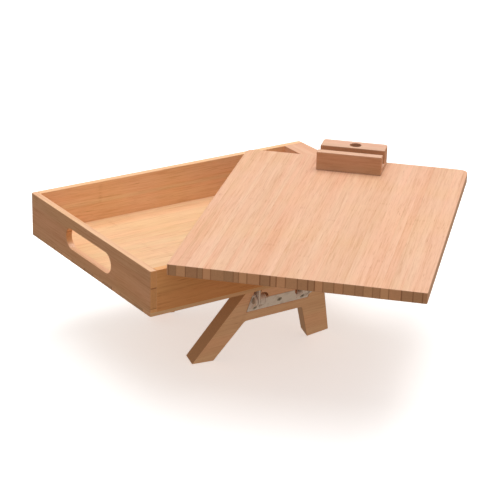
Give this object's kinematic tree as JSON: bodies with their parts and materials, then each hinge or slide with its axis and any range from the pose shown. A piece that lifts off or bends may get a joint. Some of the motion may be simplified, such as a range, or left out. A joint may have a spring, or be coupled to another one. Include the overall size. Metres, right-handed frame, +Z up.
{
  "type": "clip-on sofa arm tray table",
  "caption": "Bamboo clip-on sofa arm tray: open tray with hand hole, a swivelling top board and phone holder on a corner-side pivot bolt, and hinged wooden clamps underneath.",
  "frame": {"origin": "centre of the tray's underside, which rests on the sofa arm", "axes": "+X along the tray towards the pivot ledge, +Y towards the back, +Z up; the top board is stored swung out over the front right corner and the clamps half closed, as in the picture"},
  "size_m": [0.4287, 0.4477, 0.1834],
  "materials": {
    "bamboo_floor": "clear satin lacquer over pale edge-glued bamboo",
    "bamboo_long_walls": "clear satin lacquer, grain lengthways",
    "bamboo_end_wall": "clear satin lacquer, grain lengthways",
    "bamboo_ledge": "clear satin lacquer",
    "bamboo_board": "clear satin lacquer over pale edge-glued bamboo",
    "bamboo_holder": "clear satin lacquer, slightly darker bamboo",
    "bamboo_clamps": "clear satin lacquer, slightly darker bamboo",
    "steel_hinges": "satin nickel plate with fine marks",
    "steel_fasteners": "zinc plate",
    "steel_washers": "satin",
    "brass_insert": "plain turned",
    "nylon_washer": "matt",
    "bush": "plain turned"
  },
  "bodies": {
    "tray": {"bottom_panel": "bamboo_floor", "front_wall": "bamboo_long_walls", "back_wall": "bamboo_long_walls", "left_end_wall": "bamboo_end_wall", "pivot_ledge": "bamboo_ledge", "pivot_insert": "brass_insert", "pivot_bolt": "steel_fasteners", "ledge_washer": "steel_washers", "bolt_washer": "steel_washers", "front_hinge_bracket": "steel_hinges", "front_bracket_screws": "steel_fasteners", "back_hinge_bracket": "steel_hinges", "back_bracket_screws": "steel_fasteners"},
    "board": {"top_board": "bamboo_board", "board_bush": "bush", "holder_washer": "nylon_washer"},
    "holder": {"phone_holder": "bamboo_holder"},
    "front_clamp": {"front_clamp_frame": "bamboo_clamps", "front_clamp_leaf": "steel_hinges", "front_clamp_screws": "steel_fasteners", "front_hinge_pins": "steel_fasteners", "front_hinge_barrels": "steel_hinges"},
    "back_clamp": {"back_clamp_frame": "bamboo_clamps", "back_clamp_leaf": "steel_hinges", "back_clamp_screws": "steel_fasteners", "back_hinge_pins": "steel_fasteners", "back_hinge_barrels": "steel_hinges"}
  },
  "joints": [
    {"name": "board_swivel", "type": "hinge", "parent": "tray", "child": "board", "pos_m": [0.162, 0, 0.055], "axis": [0, 0, 1], "continuous": true},
    {"name": "holder_swivel", "type": "hinge", "parent": "board", "child": "holder", "pos_m": [0.162, 0, 0.0718], "axis": [0, 0, 1], "continuous": true},
    {"name": "front_clamp_hinge", "type": "hinge", "parent": "tray", "child": "front_clamp", "pos_m": [0, -0.098, -0.02434], "axis": [1, 0, 0], "range_deg": [-60, 66]},
    {"name": "back_clamp_hinge", "type": "hinge", "parent": "tray", "child": "back_clamp", "pos_m": [0.023, 0.102, -0.02434], "axis": [-1, 0, 0], "range_deg": [-60, 66]}
  ]
}
